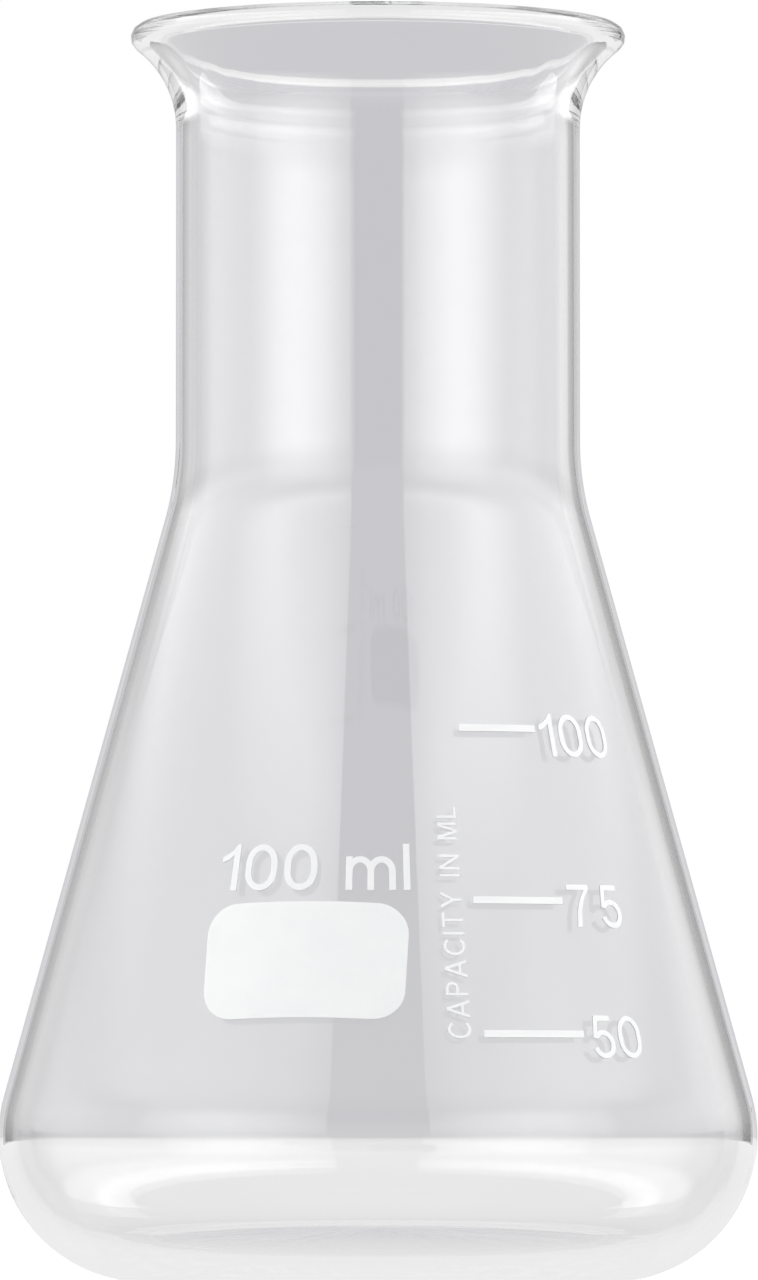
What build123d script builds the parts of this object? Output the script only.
from build123d import *
from math import acos, asin, atan, cos, degrees, hypot, radians, sin, tan
import os

# A wide neck conical flask of 100 ml, blown in one piece from borosilicate glass, with fired white print.
# Millimetres, +Z up, origin where the flask's axis meets the table. The print faces -Y.

# Glass, outside
height = 106.3
body_diameter = 64.0
neck_diameter = 34.2
rim_overhang = 3.85
shoulder_height = 67.6
heel_radius = 12.3
shoulder_radius = 24.5
flare_radius = 8.6
bead_radius = 1.1

# Glass, walls and inside
neck_wall = 1.25
cone_wall = 1.2
base_thickness = 1.9
inner_flare_radius = 9.8

# Base: the flask stands on a narrow ring, and the middle is pushed up
foot_ring_width = 1.2
push_up = 0.9

# Fired print. Azimuths are counted from -Y towards +X, as seen from above.
enamel_thickness = 0.1
line_heights = {"100": 45.9, "75": 31.6, "50": 20.6}
line_thickness = 0.6
line_start_azimuth = 16.7
line_sweep = 17.3
panel_azimuth = -12.4
panel_mid_height = 26.7
panel_width = 16.9
panel_height = 9.9
panel_corner_radius = 2.6

# How far the uncut skin of enamel reaches past the panel that is cut from it
skin_spare = 4.0

# The cone is the line from the shoulder's corner on the neck that is tangent to the round heel
body_radius = body_diameter / 2
neck_radius = neck_diameter / 2
heel_centre_radius = body_radius - heel_radius
heel_to_shoulder = (heel_centre_radius - neck_radius, shoulder_height - heel_radius)
cone_lean = atan(heel_to_shoulder[0] / heel_to_shoulder[1]) + asin(heel_radius / hypot(*heel_to_shoulder))
slope = tan(cone_lean)

# Where the straight cone would meet the table, and the same corners on the inside of the wall
cone_foot_radius = neck_radius + shoulder_height * slope
wall_on_level = cone_wall / cos(cone_lean)
bore_radius = neck_radius - neck_wall
inner_foot_radius = cone_foot_radius - wall_on_level - base_thickness * slope
inner_shoulder_height = (cone_foot_radius - wall_on_level - bore_radius) / slope
inner_shoulder_radius = shoulder_radius + neck_wall
inner_heel_radius = heel_radius - base_thickness

# The flare turns outwards from the neck until it is tangent to the round bead
bead_centre_radius = neck_radius + rim_overhang - bead_radius
bead_centre_height = height - bead_radius
outer_turn = acos((neck_radius + flare_radius - bead_centre_radius) / (flare_radius + bead_radius))
flare_height = bead_centre_height - (flare_radius + bead_radius) * sin(outer_turn)
inner_turn = acos(
    (bore_radius + inner_flare_radius - bead_centre_radius) / (inner_flare_radius - bead_radius)
)
inner_flare_height = bead_centre_height - (inner_flare_radius - bead_radius) * sin(inner_turn)

# The pushed-up middle is a shallow dome inside the foot ring
dome_edge_radius = heel_centre_radius - foot_ring_width
dome_radius = (dome_edge_radius**2 + push_up**2) / (2 * push_up)
dome_turn = degrees(asin(dome_edge_radius / dome_radius))

os.makedirs("parts", exist_ok=True)


def cone_surface_radius(level):
    """Outer radius of the straight cone at a height."""
    return cone_foot_radius - level * slope


def section_plane(level, azimuth):
    """Upright plane through the axis, its X along the cone's outward normal at that height."""
    turn = radians(azimuth)
    outward = Vector(sin(turn), -cos(turn), 0)
    normal = outward * cos(cone_lean) + Vector(0, 0, sin(cone_lean))
    on_surface = outward * cone_surface_radius(level) + Vector(0, 0, level)
    return Plane(origin=on_surface, x_dir=normal, z_dir=outward.cross(Vector(0, 0, 1)))


def tangent_plane(level, azimuth):
    """Plane that lies against the cone at that height, its Y running up the slope."""
    section = section_plane(level, azimuth)
    return Plane(origin=section.origin, x_dir=section.z_dir * -1, z_dir=section.x_dir)


# The inside of the wall, from the end of the bead down to the middle of the floor
with BuildLine() as inner_outline:
    inner_flare = JernArc(
        (bore_radius, inner_flare_height),
        tangent=(0, 1),
        radius=inner_flare_radius,
        arc_size=-degrees(inner_turn),
    )
    FilletPolyline(
        (bore_radius, inner_flare_height),
        (bore_radius, inner_shoulder_height),
        (inner_foot_radius, base_thickness),
        (dome_edge_radius, base_thickness),
        radius=(inner_shoulder_radius, inner_heel_radius),
    )
    JernArc((0, push_up + base_thickness), tangent=(1, 0), radius=dome_radius, arc_size=-dome_turn)

with BuildPart() as glass_vessel:
    with BuildSketch(Plane.XZ):
        with BuildLine():
            JernArc((0, push_up), tangent=(1, 0), radius=dome_radius, arc_size=-dome_turn)
            FilletPolyline(
                (dome_edge_radius, 0),
                (cone_foot_radius, 0),
                (neck_radius, shoulder_height),
                (neck_radius, flare_height),
                radius=(heel_radius, shoulder_radius),
            )
            flare = JernArc(
                (neck_radius, flare_height),
                tangent=(0, 1),
                radius=flare_radius,
                arc_size=-degrees(outer_turn),
            )
            JernArc(
                flare @ 1,
                tangent=flare % 1,
                radius=bead_radius,
                arc_size=180 + degrees(outer_turn - inner_turn),
            )
            add(inner_outline.line)
            Line((0, push_up + base_thickness), (0, push_up))
        make_face()
    revolve(axis=Axis.Z)

glass_vessel.part.label = "glass_vessel"
export_step(glass_vessel.part, "parts/glass_vessel.step")

# Each graduation line is a thin strip of enamel that follows the cone at one height
for volume, line_height in line_heights.items():
    with BuildPart() as graduation_line:
        with BuildSketch(section_plane(line_height, line_start_azimuth)):
            Rectangle(enamel_thickness, line_thickness, align=(Align.MIN, Align.CENTER))
        revolve(axis=Axis.Z, revolution_arc=line_sweep)
    graduation_line.part.label = "graduation_line_" + volume
    export_step(graduation_line.part, "parts/graduation_line_" + volume + ".step")

# The writing panel is the same skin, cut to a rounded rectangle that is printed square onto the cone
with BuildPart() as writing_panel:
    skin_half_width = panel_width / 2 + skin_spare
    skin_sweep = 2 * degrees(asin(skin_half_width / cone_surface_radius(panel_mid_height)))
    with BuildSketch(section_plane(panel_mid_height, panel_azimuth - skin_sweep / 2)):
        Rectangle(enamel_thickness, panel_height + 2 * skin_spare, align=(Align.MIN, Align.CENTER))
    revolve(axis=Axis.Z, revolution_arc=skin_sweep)
    with BuildSketch(tangent_plane(panel_mid_height, panel_azimuth)):
        RectangleRounded(panel_width, panel_height, panel_corner_radius)
    extrude(amount=panel_width / 2, both=True, mode=Mode.INTERSECT)

writing_panel.part.label = "writing_panel"
export_step(writing_panel.part, "parts/writing_panel.step")

# What the vessel holds up to each line, to compare with the printed capacity
with BuildPart() as inside:
    with BuildSketch(Plane.XZ):
        with BuildLine():
            add(inner_outline.line)
            Polyline(inner_flare @ 1, (0, (inner_flare @ 1).Y), (0, push_up + base_thickness))
        make_face()
    revolve(axis=Axis.Z)
for volume, line_height in line_heights.items():
    filled = split(inside.part, bisect_by=Plane.XY.offset(line_height), keep=Keep.BOTTOM)
    print("holds", round(filled.volume / 1000, 1), "ml up to the line for", volume)
print("the cone leans in by", round(degrees(cone_lean), 2), "degrees")
print("glass volume", round(glass_vessel.part.volume / 1000, 2), "ml")
